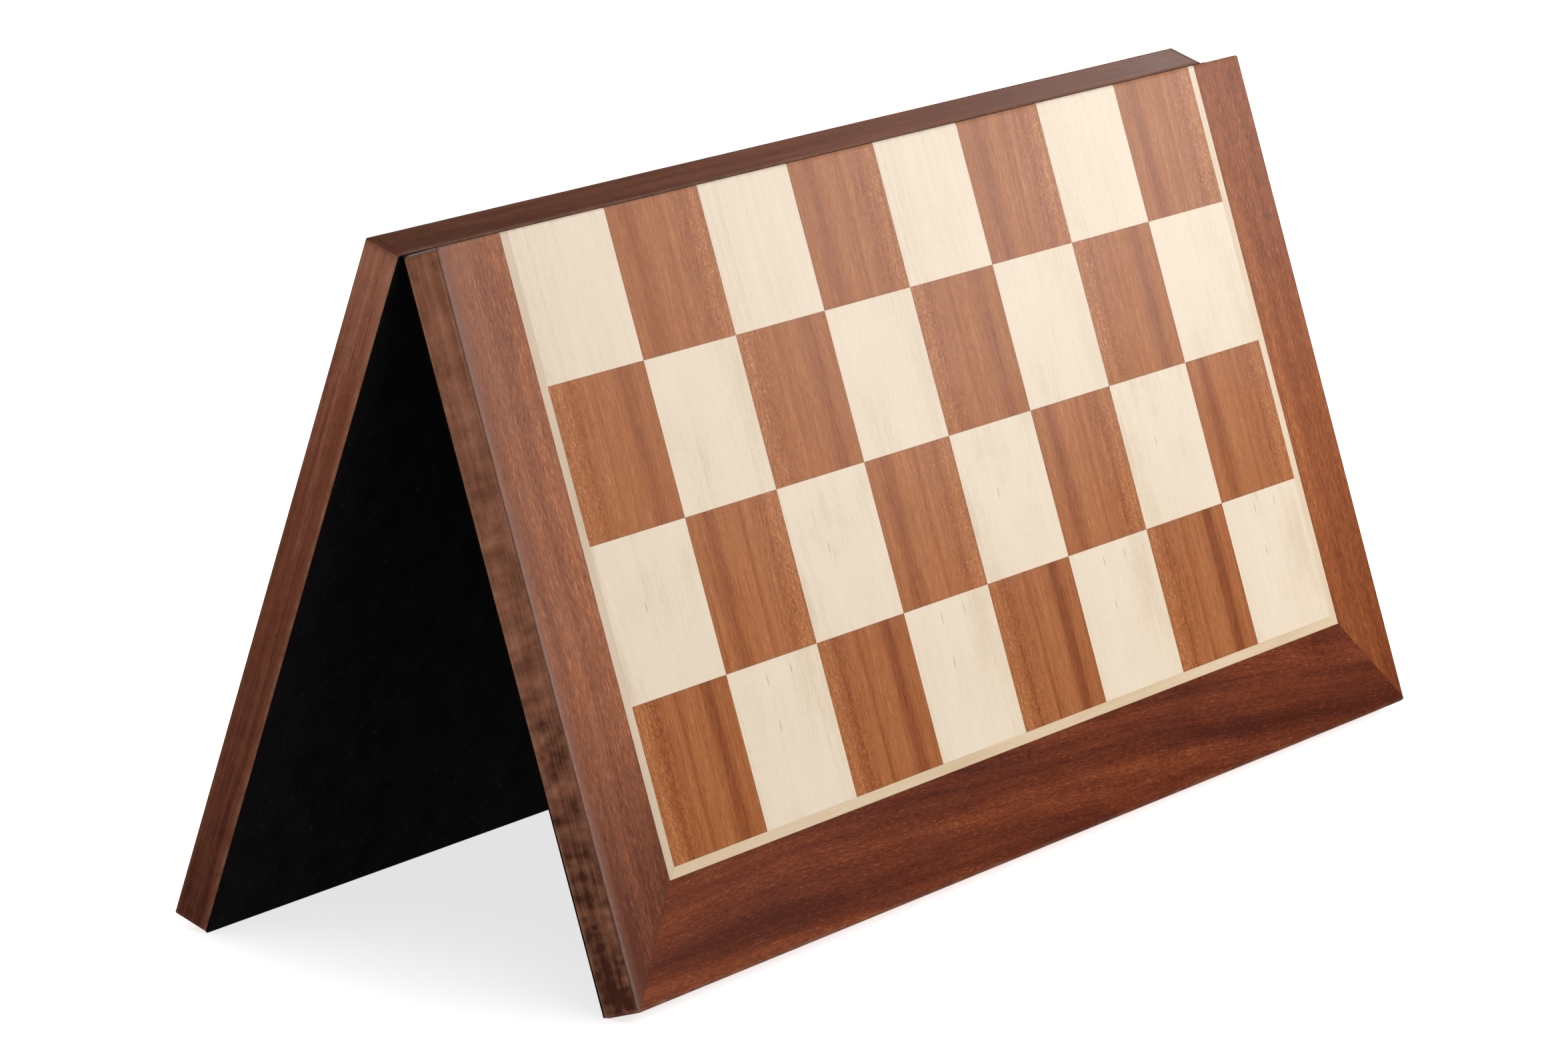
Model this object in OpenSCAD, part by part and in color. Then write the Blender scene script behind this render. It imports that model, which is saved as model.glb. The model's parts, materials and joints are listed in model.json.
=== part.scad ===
// Folding chess board.
// Two veneered leaves are joined only by the lining that covers both undersides and bends at the fold.
// The board stands half open, like a tent, on the free edges of its leaves, with the playing face outside.
// X runs along the fold from file a to file h, the front leaf faces -Y and Z is up.
// The origin is on the floor, under the middle of the fold.

/* [Playing field] */
// Side of one square
square_side = 50; // [40:1:60]
// Depth that the rank beside the fold loses on each leaf, where the saw parts the panel
saw_loss = 1.4; // [0.5:0.1:3]
// Width of the light stringing at the left and right of the field
side_stringing = 3.8; // [1:0.1:8]
// Width of the light stringing along the free edge
free_stringing = 3.4; // [1:0.1:8]

/* [Border] */
// Width of the border veneer at the left and right
side_border = 31.2; // [20:0.2:50]
// Width of the border veneer along the free edge
free_border = 34; // [20:0.2:50]

/* [Panel] */
// Thickness of the core board
core_thickness = 12; // [9:0.5:18]
// Thickness of the face veneers and of the backing veneer
veneer_thickness = 0.6; // [0.4:0.1:0.8]
// Width of the solid lippings round the core
lipping_width = 4; // [3:0.5:10]

/* [Rounded edges] */
// Radius between the face and the three outer edges
face_radius = 1.5; // [1:0.1:2.5]
// Radius between the face and the fold edge
fold_radius = 0.8; // [0.3:0.1:1.2]
// Radius between the underside and all four edges
back_radius = 0.5; // [0.3:0.1:0.8]
// Radius of the four corners of a leaf, seen from above
corner_radius = 2.2; // [1.5:0.1:2.5]

/* [Lining and fold] */
// Thickness of the lining cloth
lining_thickness = 0.7; // [0.4:0.1:0.7]
// Distance of the lining's edge from the edges of the leaf
lining_inset = 0.5; // [0.4:0.1:2]
// Depth of the fold axis below the underside of the wood
axis_depth = 1; // [1:0.1:1.5]
// Gap between the two fold edges when the board lies flat
fold_gap = 0.4; // [0.3:0.05:0.4]
// Angle between the leaves as the board stands
standing_angle = 37.4; // [20:0.2:90]

/* [Hidden] */
FILES = 8;
RANKS = 8;
LEAF_RANKS = RANKS / 2;
LEAVES = ["front", "rear"];
SIDES = ["left", "right"];
TONES = ["light", "dark"];
PLAIN_PARTS = [
    "core", "backing_veneer", "fold_lipping", "free_lipping", "free_border", "free_stringing", "lining"
];
SIDE_PARTS = ["lipping", "border", "stringing"];

CORE_COLOUR = "burlywood";
BACKING_COLOUR = "tan";
LIPPING_COLOUR = "#5e3524";
BORDER_COLOUR = "#7a4028";
STRINGING_COLOUR = "#e3cfa0";
LIGHT_COLOUR = "#ecdcb8";
DARK_COLOUR = "#a5663c";
LINING_COLOUR = "#151515";

$fn = 64;
// Length by which blanks and cutters reach past the surface that trims them
SLACK = 1;

field_half = FILES / 2 * square_side;
field_depth = LEAF_RANKS * square_side - saw_loss;
stringing_half = field_half + side_stringing;
stringing_depth = field_depth + free_stringing;
leaf_length = 2 * (stringing_half + side_border);
leaf_depth = stringing_depth + free_border;
panel_thickness = core_thickness + 2 * veneer_thickness;
face_bed = panel_thickness - veneer_thickness;
half_angle = standing_angle / 2;
// Height of the fold axis: the rounded underside corners of the free edges touch the floor
axis_height = (leaf_depth - back_radius + fold_gap / 2) * cos(half_angle)
    - (axis_depth + back_radius) * sin(half_angle) + back_radius;

function squares_name(rank, tone) = str("rank_", rank, "_", tone, "_squares");
// Files that hold the squares of one tone in a rank: a1 is dark
function first_file(rank, tone) = (rank + (tone == "dark" ? 1 : 0)) % 2;
// Ranks counted away from the fold, from 0
function row_of(rank) = rank <= LEAF_RANKS ? LEAF_RANKS - rank : rank - LEAF_RANKS - 1;
function leaf_of(rank) = rank <= LEAF_RANKS ? "front" : "rear";

// Stands a leaf in its place. In the leaf's own axes, X is along the fold, Y runs from the fold edge
// to the free edge, and Z runs from the underside of the wood to the face.
module stand(leaf) {
    mirror([0, leaf == "front" ? 1 : 0, 0])
        translate([0, 0, axis_height])
            rotate([half_angle - 90, 0, 0])
                translate([0, fold_gap / 2, axis_depth])
                    children();
}

// What is cut away at a rectangle's corner to round it, for a corner at the origin
module corner_waste(radius) {
    difference() {
        translate([-SLACK, -SLACK]) square(radius + SLACK);
        translate([radius, radius]) circle(radius);
    }
}

// Rectangle from the origin, with the radii of its corners in the order
// low X low Y, high X low Y, high X high Y, low X high Y
module rounded_rectangle(width, height, radii) {
    difference() {
        square([width, height]);
        corner_waste(radii[0]);
        translate([width, 0]) mirror([1, 0]) corner_waste(radii[1]);
        translate([width, height]) rotate(180) corner_waste(radii[2]);
        translate([0, height]) mirror([0, 1]) corner_waste(radii[3]);
    }
}

// The leaf's whole wooden body: its outline, and its sections across and along the fold
module leaf_envelope() {
    intersection() {
        translate([-leaf_length / 2, 0, -SLACK])
            linear_extrude(panel_thickness + 2 * SLACK)
                rounded_rectangle(leaf_length, leaf_depth,
                    [corner_radius, corner_radius, corner_radius, corner_radius]);
        rotate([90, 0, 90])
            linear_extrude(leaf_length + 2 * SLACK, center = true)
                rounded_rectangle(leaf_depth, panel_thickness,
                    [back_radius, back_radius, face_radius, fold_radius]);
        translate([-leaf_length / 2, leaf_depth + SLACK, 0])
            rotate([90, 0, 0])
                linear_extrude(leaf_depth + 2 * SLACK)
                    rounded_rectangle(leaf_length, panel_thickness,
                        [back_radius, back_radius, face_radius, face_radius]);
    }
}

// A piece of face veneer with the outline of its children, trimmed to the leaf
module face_veneer() {
    intersection() {
        leaf_envelope();
        translate([0, 0, face_bed]) linear_extrude(veneer_thickness + SLACK) children();
    }
}

// A lipping with the outline of its children, trimmed to the leaf and to the bed of the face veneer
module lipping() {
    intersection() {
        leaf_envelope();
        translate([0, 0, -SLACK]) linear_extrude(face_bed + SLACK) children();
    }
}

module on_side(side) {
    mirror([side == "left" ? 1 : 0, 0, 0]) children();
}

// Outline of the core between the four lippings
module core_outline() {
    translate([lipping_width - leaf_length / 2, lipping_width])
        square([leaf_length - 2 * lipping_width, leaf_depth - 2 * lipping_width]);
}

module core() {
    color(CORE_COLOUR)
        translate([0, 0, veneer_thickness]) linear_extrude(core_thickness) core_outline();
}

module backing_veneer() {
    color(BACKING_COLOUR)
        linear_extrude(veneer_thickness) core_outline();
}

// Lipping along the fold edge, between the side lippings
module fold_lipping() {
    color(LIPPING_COLOUR)
        lipping()
            translate([lipping_width - leaf_length / 2, -SLACK])
                square([leaf_length - 2 * lipping_width, lipping_width + SLACK]);
}

// Lipping along the free edge, between the side lippings
module free_lipping() {
    color(LIPPING_COLOUR)
        lipping()
            translate([lipping_width - leaf_length / 2, leaf_depth - lipping_width])
                square([leaf_length - 2 * lipping_width, lipping_width + SLACK]);
}

// Lipping over the whole depth of the leaf at one side
module side_lipping(side) {
    color(LIPPING_COLOUR)
        on_side(side)
            lipping()
                translate([leaf_length / 2 - lipping_width, -SLACK])
                    square([lipping_width + SLACK, leaf_depth + 2 * SLACK]);
}

// Border veneer along the free edge, mitred from the leaf's corners to the stringing's corners
module free_border() {
    reach_x = leaf_length / 2 + SLACK;
    reach_y = leaf_depth + SLACK * free_border / side_border;
    color(BORDER_COLOUR)
        face_veneer()
            polygon([
                [-stringing_half, stringing_depth],
                [stringing_half, stringing_depth],
                [reach_x, reach_y],
                [-reach_x, reach_y]
            ]);
}

// Border veneer at one side, from the fold edge to the mitre
module side_border(side) {
    reach_x = leaf_length / 2 + SLACK;
    reach_y = leaf_depth + SLACK * free_border / side_border;
    color(BORDER_COLOUR)
        on_side(side)
            face_veneer()
                polygon([
                    [stringing_half, -SLACK],
                    [reach_x, -SLACK],
                    [reach_x, reach_y],
                    [stringing_half, stringing_depth]
                ]);
}

// Light stringing between the field and the border of the free edge
module free_stringing() {
    color(STRINGING_COLOUR)
        face_veneer()
            polygon([
                [-field_half, field_depth],
                [field_half, field_depth],
                [stringing_half, stringing_depth],
                [-stringing_half, stringing_depth]
            ]);
}

// Light stringing between the field and the border at one side
module side_stringing(side) {
    color(STRINGING_COLOUR)
        on_side(side)
            face_veneer()
                polygon([
                    [field_half, -SLACK],
                    [stringing_half, -SLACK],
                    [stringing_half, stringing_depth],
                    [field_half, field_depth]
                ]);
}

// The four squares of one tone in a rank
module rank_squares(rank, tone) {
    color(tone == "light" ? LIGHT_COLOUR : DARK_COLOUR)
        face_veneer()
            for (file = [first_file(rank, tone):2:FILES - 1])
                translate([file * square_side - field_half, row_of(rank) * square_side - saw_loss])
                    square(square_side);
}

// Lining cloth glued to the underside of one leaf
module lining() {
    color(LINING_COLOUR)
        translate([lining_inset - leaf_length / 2, 0, -lining_thickness])
            linear_extrude(lining_thickness)
                difference() {
                    square([leaf_length - 2 * lining_inset, leaf_depth - lining_inset]);
                    translate([leaf_length - 2 * lining_inset, leaf_depth - lining_inset])
                        rotate(180) corner_waste(corner_radius);
                    translate([0, leaf_depth - lining_inset])
                        mirror([0, 1]) corner_waste(corner_radius);
                }
}

// Section of the cloth about the fold axis: a bend that ends at each leaf's fold edge
module fold_section() {
    reach = 2 * axis_depth;
    difference() {
        circle(axis_depth);
        circle(axis_depth - lining_thickness);
        for (flip = [0, 1])
            mirror([flip, 0])
                rotate(half_angle - 90)
                    translate([fold_gap / 2, -reach]) square([reach, 2 * reach]);
    }
}

// Cloth that bridges the fold: the board's only hinge
module lining_fold() {
    color(LINING_COLOUR)
        translate([0, 0, axis_height])
            rotate([90, 0, 90])
                linear_extrude(leaf_length - 2 * lining_inset, center = true) fold_section();
}

for (leaf = LEAVES) {
    stand(leaf) core();
    stand(leaf) backing_veneer();
    stand(leaf) fold_lipping();
    stand(leaf) free_lipping();
    stand(leaf) free_border();
    stand(leaf) free_stringing();
    stand(leaf) lining();
    for (side = SIDES) {
        stand(leaf) side_lipping(side);
        stand(leaf) side_border(side);
        stand(leaf) side_stringing(side);
    }
}
for (rank = [1:RANKS], tone = TONES)
    stand(leaf_of(rank)) rank_squares(rank, tone);
lining_fold();
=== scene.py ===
"""Looks of the folding chess board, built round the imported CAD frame.

Each wooden piece is built in its leaf's own axes and then stood in its place. In those axes x runs along
the fold, y from the fold axis towards the free edge, and z from the fold axis towards the face.
"""
import json
import math
import random

import bmesh
import bpy
from mathutils import Matrix, Quaternion, Vector


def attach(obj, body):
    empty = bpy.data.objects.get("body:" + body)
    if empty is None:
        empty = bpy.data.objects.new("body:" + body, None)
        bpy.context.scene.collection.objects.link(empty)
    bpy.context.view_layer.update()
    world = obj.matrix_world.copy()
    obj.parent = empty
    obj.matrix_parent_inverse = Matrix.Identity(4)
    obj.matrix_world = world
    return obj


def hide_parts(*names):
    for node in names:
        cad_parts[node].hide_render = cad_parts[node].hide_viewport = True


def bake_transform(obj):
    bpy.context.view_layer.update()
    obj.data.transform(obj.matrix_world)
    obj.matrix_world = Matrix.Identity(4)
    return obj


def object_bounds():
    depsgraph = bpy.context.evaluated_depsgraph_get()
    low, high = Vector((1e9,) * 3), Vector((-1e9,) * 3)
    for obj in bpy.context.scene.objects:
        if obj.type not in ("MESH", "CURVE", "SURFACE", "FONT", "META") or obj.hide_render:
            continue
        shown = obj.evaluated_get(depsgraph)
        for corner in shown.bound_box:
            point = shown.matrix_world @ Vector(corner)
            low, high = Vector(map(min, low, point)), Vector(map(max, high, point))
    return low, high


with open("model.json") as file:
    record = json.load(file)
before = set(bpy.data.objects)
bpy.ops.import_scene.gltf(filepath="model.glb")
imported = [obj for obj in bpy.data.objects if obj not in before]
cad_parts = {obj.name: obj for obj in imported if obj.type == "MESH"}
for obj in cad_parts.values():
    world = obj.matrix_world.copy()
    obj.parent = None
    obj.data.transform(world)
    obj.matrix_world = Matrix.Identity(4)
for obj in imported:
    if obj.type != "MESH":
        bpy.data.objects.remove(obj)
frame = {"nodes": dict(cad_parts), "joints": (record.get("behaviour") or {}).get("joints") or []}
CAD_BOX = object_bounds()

NODES = frame["nodes"]
MM = 0.001
PER_MM = 1 / MM
RIGHT_ANGLE = math.pi / 2
LEAVES = ("front", "rear")
SIDES = ("left", "right")
TONES = ("light", "dark")
FILES = 8
LEAF_RANKS = 4

# Edge radii of the leaf, which its CAD solids have too
FACE_RADIUS = 1.5 * MM
FOLD_RADIUS = 0.8 * MM
BACK_RADIUS = 0.5 * MM
CORNER_RADIUS = 2.2 * MM
ROUNDING_CUTS = 5
# Easing of the arrises where two veneers meet, which leaves a hairline between them
VENEER_EASING = 0.05 * MM
# Width of the glue line on each side of a joint
JOINT_WIDTH = 0.15 * MM
CUT_TOLERANCE = 1e-7
SMOOTH_ANGLE = math.radians(30)
FLAT_FACE_WEIGHT = 100
# How far from the middle of its stock a strip, or a row of squares, may be cut, in millimetres
STRIP_STOCK = 500
SQUARE_STOCK = 900
# The squares of a row are slices of one strip: each lies this much deeper and further on than the last
SLICE_DEPTH = 0.6
SLICE_SLIP = 6


# ---------------------------------------------------------------- leaf axes and sizes

FOLD = next(j for j in frame["joints"] if j["name"] == "fold")
HALF_ANGLE = math.radians(-FOLD["range_deg"][0]) / 2


def leaf_axes(leaf):
    """Matrix from a leaf's own axes to the row frame."""
    outward = -1 if leaf == "front" else 1
    along = (1, 0, 0)
    down = (0, outward * math.sin(HALF_ANGLE), -math.cos(HALF_ANGLE))
    face = (0, outward * math.cos(HALF_ANGLE), math.sin(HALF_ANGLE))
    axes = Matrix((along, down, face)).transposed().to_4x4()
    axes.translation = Vector(FOLD["pos_m"])
    return axes


AXES = {leaf: leaf_axes(leaf) for leaf in LEAVES}


def leaf_box(node, leaf="front"):
    """Lowest and highest corner of a CAD node in its leaf's own axes."""
    to_leaf = AXES[leaf].inverted()
    points = [to_leaf @ v.co for v in NODES[node].data.vertices]
    low = Vector(min(p[i] for p in points) for i in range(3))
    high = Vector(max(p[i] for p in points) for i in range(3))
    return low, high


SIDE_LOW, SIDE_HIGH = leaf_box("front_right_lipping")
BORDER_LOW, BORDER_HIGH = leaf_box("front_free_border")
STRINGING_LOW, STRINGING_HIGH = leaf_box("front_free_stringing")
INNER_LOW, INNER_HIGH = leaf_box("front_fold_lipping")
LINING_LOW, LINING_HIGH = leaf_box("front_lining")
RANK_LOW, RANK_HIGH = leaf_box("rank_1_dark_squares")

HALF_LENGTH = SIDE_HIGH.x
INNER_HALF = INNER_HIGH.x
FOLD_EDGE = SIDE_LOW.y
FREE_EDGE = SIDE_HIGH.y
FOLD_LIPPING = INNER_HIGH.y
FREE_LIPPING = FREE_EDGE - (FOLD_LIPPING - FOLD_EDGE)
BACK = SIDE_LOW.z
BED = BORDER_LOW.z
FACE = BORDER_HIGH.z
STRINGING_HALF = STRINGING_HIGH.x
STRINGING_DEPTH = STRINGING_HIGH.y
FIELD_DEPTH = STRINGING_LOW.y
SQUARE = RANK_HIGH.y - RANK_LOW.y
FIELD_HALF = FILES / 2 * SQUARE
# The leaf's end and depth in millimetres, which the materials measure in
END_MM = HALF_LENGTH * PER_MM
DEPTH_MM = (FREE_EDGE - FOLD_EDGE) * PER_MM


# ---------------------------------------------------------------- wooden solids

def cut(bm, point, normal):
    """Cuts away what lies beyond a plane, and closes the cut."""
    geometry = bm.verts[:] + bm.edges[:] + bm.faces[:]
    bmesh.ops.bisect_plane(
        bm, geom=geometry, plane_co=point, plane_no=normal, dist=CUT_TOLERANCE, clear_outer=True
    )
    rim = [e for e in bm.edges if e.is_boundary]
    if rim:
        bmesh.ops.holes_fill(bm, edges=rim, sides=0)


def split(bm, point, normal):
    """Adds a row of points where a plane crosses the solid."""
    geometry = bm.verts[:] + bm.edges[:] + bm.faces[:]
    bmesh.ops.bisect_plane(bm, geom=geometry, plane_co=point, plane_no=normal, dist=CUT_TOLERANCE)


def round_edge(bm, first, second, corner, radius):
    """Rounds the edge where two outward directions meet, with planes tangent to its radius."""
    first, second = Vector(first), Vector(second)
    centre = Vector(corner) - radius * (first + second)
    for step in range(1, ROUNDING_CUTS + 1):
        angle = RIGHT_ANGLE * step / (ROUNDING_CUTS + 1)
        outward = math.cos(angle) * first + math.sin(angle) * second
        cut(bm, centre + radius * outward, outward)


def leaf_body():
    """The leaf's whole wooden body, with all its edges rounded."""
    bm = bmesh.new()
    low = Vector((-HALF_LENGTH, FOLD_EDGE, BACK))
    high = Vector((HALF_LENGTH, FREE_EDGE, FACE))
    size = Matrix.Diagonal(high - low).to_4x4()
    bmesh.ops.create_cube(bm, size=1, matrix=Matrix.Translation((low + high) / 2) @ size)
    to_free, to_fold, up, down = (0, 1, 0), (0, -1, 0), (0, 0, 1), (0, 0, -1)
    for side in (-1, 1):
        end, x = (side, 0, 0), side * HALF_LENGTH
        round_edge(bm, end, to_free, (x, FREE_EDGE, 0), CORNER_RADIUS)
        round_edge(bm, end, to_fold, (x, FOLD_EDGE, 0), CORNER_RADIUS)
        round_edge(bm, end, up, (x, 0, FACE), FACE_RADIUS)
        round_edge(bm, end, down, (x, 0, BACK), BACK_RADIUS)
    round_edge(bm, to_free, up, (0, FREE_EDGE, FACE), FACE_RADIUS)
    round_edge(bm, to_free, down, (0, FREE_EDGE, BACK), BACK_RADIUS)
    round_edge(bm, to_fold, up, (0, FOLD_EDGE, FACE), FOLD_RADIUS)
    round_edge(bm, to_fold, down, (0, FOLD_EDGE, BACK), BACK_RADIUS)
    return bm


LEAF_BODY = leaf_body()


def joint_share(point, planes):
    """1 at a glued joint, falling to 0 at the joint's width from it."""
    gaps = [abs((point - place).dot(normal)) for place, normal in planes]
    return max([0.0] + [1 - gap / JOINT_WIDTH for gap in gaps])


def carve(planes, bottom, top):
    """The part of the leaf between two heights and inside upright planes, and the planes it is glued at.

    A row of points beside each joint lets its glue line end there, and veneers get eased arrises.
    """
    bm = LEAF_BODY.copy()
    up = Vector((0, 0, 1))
    cut(bm, Vector((0, 0, bottom)), -up)
    cut(bm, Vector((0, 0, top)), up)
    for point, normal in planes:
        cut(bm, point, normal)
        if top == FACE:
            eased = point - normal * VENEER_EASING
            eased.z = top
            cut(bm, eased, (normal + up).normalized())
    bed = (Vector((0, 0, BED)), up)
    joints = list(planes) + [bed]
    for point, normal in planes:
        split(bm, point - normal * JOINT_WIDTH, normal)
    split(bm, bed[0] + up * (JOINT_WIDTH if top == FACE else -JOINT_WIDTH), up)
    return bm, joints


def rectangle(x0, x1, y0, y1):
    """Planes round a rectangle. A side that is None isn't cut."""
    sides = ((x0, 0, (-1, 0, 0)), (x1, 0, (1, 0, 0)), (0, y0, (0, -1, 0)), (0, y1, (0, 1, 0)))
    return [(Vector((x, y, 0)), Vector(normal)) for x, y, normal in sides if None not in (x, y)]


BORDER_MITRE = ((STRINGING_HALF, STRINGING_DEPTH), (HALF_LENGTH, FREE_EDGE))
STRINGING_MITRE = ((FIELD_HALF, FIELD_DEPTH), (STRINGING_HALF, STRINGING_DEPTH))


def mitre(side, ends, keep):
    """Plane of a mitre at one side. It keeps the strip along the free edge, or the one down the side."""
    (x0, y0), (x1, y1) = ends
    normal = Vector((side * (y1 - y0), -(x1 - x0), 0)).normalized()
    return Vector((side * x0, y0, 0)), normal if keep == "free" else -normal


def add_vectors(mesh, name, vectors):
    """Stores one vector per vertex under a name that materials read."""
    layer = mesh.attributes.new(name, "FLOAT_VECTOR", "POINT")
    layer.data.foreach_set("vector", [x for v in vectors for x in v])


def place(name, leaf, solids, slot, material, grain, cells=None):
    """Makes a piece from solids in leaf axes, stands it in its place and lets it stand for its CAD node.

    grain(point, number) gives where a point lies in the wood that solid was cut from, in millimetres:
    across the grain, along it and into the stock. cells(point, number) gives where it lies in its square.
    """
    whole = bmesh.new()
    numbers, joints = [], []
    for number, (solid, planes) in enumerate(solids):
        part = bpy.data.meshes.new(name)
        solid.to_mesh(part)
        whole.from_mesh(part)
        numbers += [number] * len(part.vertices)
        joints += [joint_share(v.co, planes) for v in part.vertices]
        bpy.data.meshes.remove(part)
        solid.free()
    places = [v.co.copy() for v in whole.verts]
    whole.transform(AXES[leaf])
    bmesh.ops.recalc_face_normals(whole, faces=whole.faces[:])
    mesh = bpy.data.meshes.new(name)
    whole.to_mesh(mesh)
    whole.free()
    add_vectors(mesh, "leaf", [PER_MM * (p - Vector((0, FOLD_EDGE, BACK))) for p in places])
    add_vectors(mesh, "grain", [grain(p, n) for p, n in zip(places, numbers)])
    if cells:
        add_vectors(mesh, "cell", [cells(p, n) for p, n in zip(places, numbers)])
    mesh.attributes.new("joint", "FLOAT", "POINT").data.foreach_set("value", joints)
    mesh.shade_smooth()
    mesh.set_sharp_from_angle(angle=SMOOTH_ANGLE)
    mesh.materials.append(material)
    piece = bpy.data.objects.new(name + "_wood", mesh)
    bpy.context.scene.collection.objects.link(piece)
    normals = piece.modifiers.new("flat_faces_stay_flat", "WEIGHTED_NORMAL")
    normals.keep_sharp = True
    normals.weight = FLAT_FACE_WEIGHT
    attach(piece, leaf + "_leaf")
    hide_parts(name)
    return piece


def stock(name, turned):
    """Where a piece's points lie in its own stretch of stock. turned: the grain runs along the fold."""
    draw = random.Random(name)
    shift = Vector(draw.uniform(-STRIP_STOCK, STRIP_STOCK) for _ in range(3))

    def grain(point, number):
        across, along = (point.y, point.x) if turned else (point.x, point.y)
        return Vector((across, along, point.z)) * PER_MM + shift

    return grain


# ---------------------------------------------------------------- materials

class Looks:
    """A material under construction. Each method adds a node and returns its output."""

    def __init__(self, name):
        self.material = bpy.data.materials.new(name)
        self.material.use_nodes = True
        self.tree = self.material.node_tree
        self.tree.nodes.clear()

    def add(self, kind, inputs, output=0, **settings):
        node = self.tree.nodes.new("ShaderNode" + kind)
        for key, value in settings.items():
            setattr(node, key, value)
        for socket, value in inputs.items():
            if isinstance(value, bpy.types.NodeSocket):
                self.tree.links.new(value, node.inputs[socket])
            else:
                node.inputs[socket].default_value = value
        return node.outputs[output]

    def stored(self, name, output="Vector"):
        return self.add("Attribute", {}, output, attribute_name=name)

    def axes(self, vector):
        socket = self.add("SeparateXYZ", {0: vector})
        return socket.node.outputs[:3]

    def vector(self, x, y, z):
        return self.add("CombineXYZ", {0: x, 1: y, 2: z})

    def plus(self, a, b):
        return self.add("Math", {0: a, 1: b}, operation="ADD")

    def times(self, a, b):
        return self.add("Math", {0: a, 1: b}, operation="MULTIPLY")

    def absolute(self, value):
        return self.add("Math", {0: value}, operation="ABSOLUTE")

    def layered(self, tone, *layers):
        """tone with layers added in turn, each a value and its share."""
        for value, share in layers:
            tone = self.plus(tone, self.times(value, share))
        return tone

    def noise(self, vector, scale, detail=2.0, roughness=0.5):
        """Noise from about -1 to 1, with its own number of waves per millimetre on each axis."""
        scaled = self.add("VectorMath", {0: vector, 1: scale}, operation="MULTIPLY")
        inputs = {"Vector": scaled, "Scale": 1.0, "Detail": detail, "Roughness": roughness}
        return self.span(self.add("TexNoise", inputs), 0.25, 0.75, -1.0, 1.0, clamp=False)

    def span(self, value, low, high, start=0.0, end=1.0, smooth=False, clamp=True):
        """value taken from the span low to high onto the span start to end."""
        kind = "SMOOTHSTEP" if smooth else "LINEAR"
        inputs = {0: value, 1: low, 2: high, 3: start, 4: end}
        return self.add("MapRange", inputs, interpolation_type=kind, clamp=clamp)

    def ramp(self, value, stops, interpolation="LINEAR"):
        socket = self.add("ValToRGB", {0: value})
        ramp = socket.node.color_ramp
        ramp.interpolation = interpolation
        for _ in stops[2:]:
            ramp.elements.new(0.5)
        for element, (position, colour) in zip(ramp.elements, stops):
            element.position = position
            element.color = (*colour, 1) if hasattr(colour, "__len__") else (colour, colour, colour, 1)
        return socket

    def blend(self, share, a, b):
        inputs = {0: share, 6: a, 7: b if isinstance(b, bpy.types.NodeSocket) else (*b, 1)}
        return self.add("Mix", inputs, 2, data_type="RGBA")

    def bump(self, height, strength, depth):
        return self.add("Bump", {"Height": height, "Strength": strength, "Distance": depth})

    def finish(self, **inputs):
        shader = self.add("BsdfPrincipled", {key.replace("_", " "): value for key, value in inputs.items()})
        output = self.tree.nodes.new("ShaderNodeOutputMaterial")
        self.tree.links.new(shader, output.inputs[0])
        return self.material


GLUE_COLOUR = (0.035, 0.014, 0.008)
# Colour of the painted sheen: reflected light painted into the borders' colour
PAINTED_SHEEN_COLOUR = (0.25, 0.125, 0.095)
WORN_WOOD = (0.45, 0.25, 0.15)
PORE_SHADE = 0.35
LACQUER_IOR = 1.5
LACQUER_IOR_LEVEL = 0.3
SATIN_IOR_LEVEL = 0.18
END_IOR_LEVEL = 0.08
# How far the outer edges reach into the faces, in millimetres
EDGE_REACH = 1.6
# How much rougher the lacquer is on the outer edges, and again where they are worn
EDGE_DULLING = 0.35
WEAR_DULLING = 0.06
WEAR_STRENGTH = 0.4
# Where the dark line under the veneers starts to fade and where it ends, in millimetres from the joint
SEAM_SPAN = (0.05, 0.3)
SEAM_STRENGTH = 0.8
GLOSS_VARIATION = 0.03
RELIEF_STRENGTH = 0.3
RELIEF_DEPTH = 0.04 * MM


def outer_edges(looks):
    """1 on the leaf's outer edges, falling to 0 within a millimetre or two of them."""
    half_size = Vector((HALF_LENGTH, (FREE_EDGE - FOLD_EDGE) / 2, (FACE - BACK) / 2)) * PER_MM
    middle = Vector((0, half_size.y, half_size.z))
    near = []
    for i, value in enumerate(looks.axes(looks.stored("leaf"))):
        offset = looks.absolute(looks.plus(value, -middle[i]))
        near.append(looks.span(offset, half_size[i] - EDGE_REACH, half_size[i]))
    x, y, z = near
    edges = looks.plus(looks.times(x, y), looks.plus(looks.times(y, z), looks.times(z, x)))
    return looks.span(edges, 0.1, 0.7)


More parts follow.
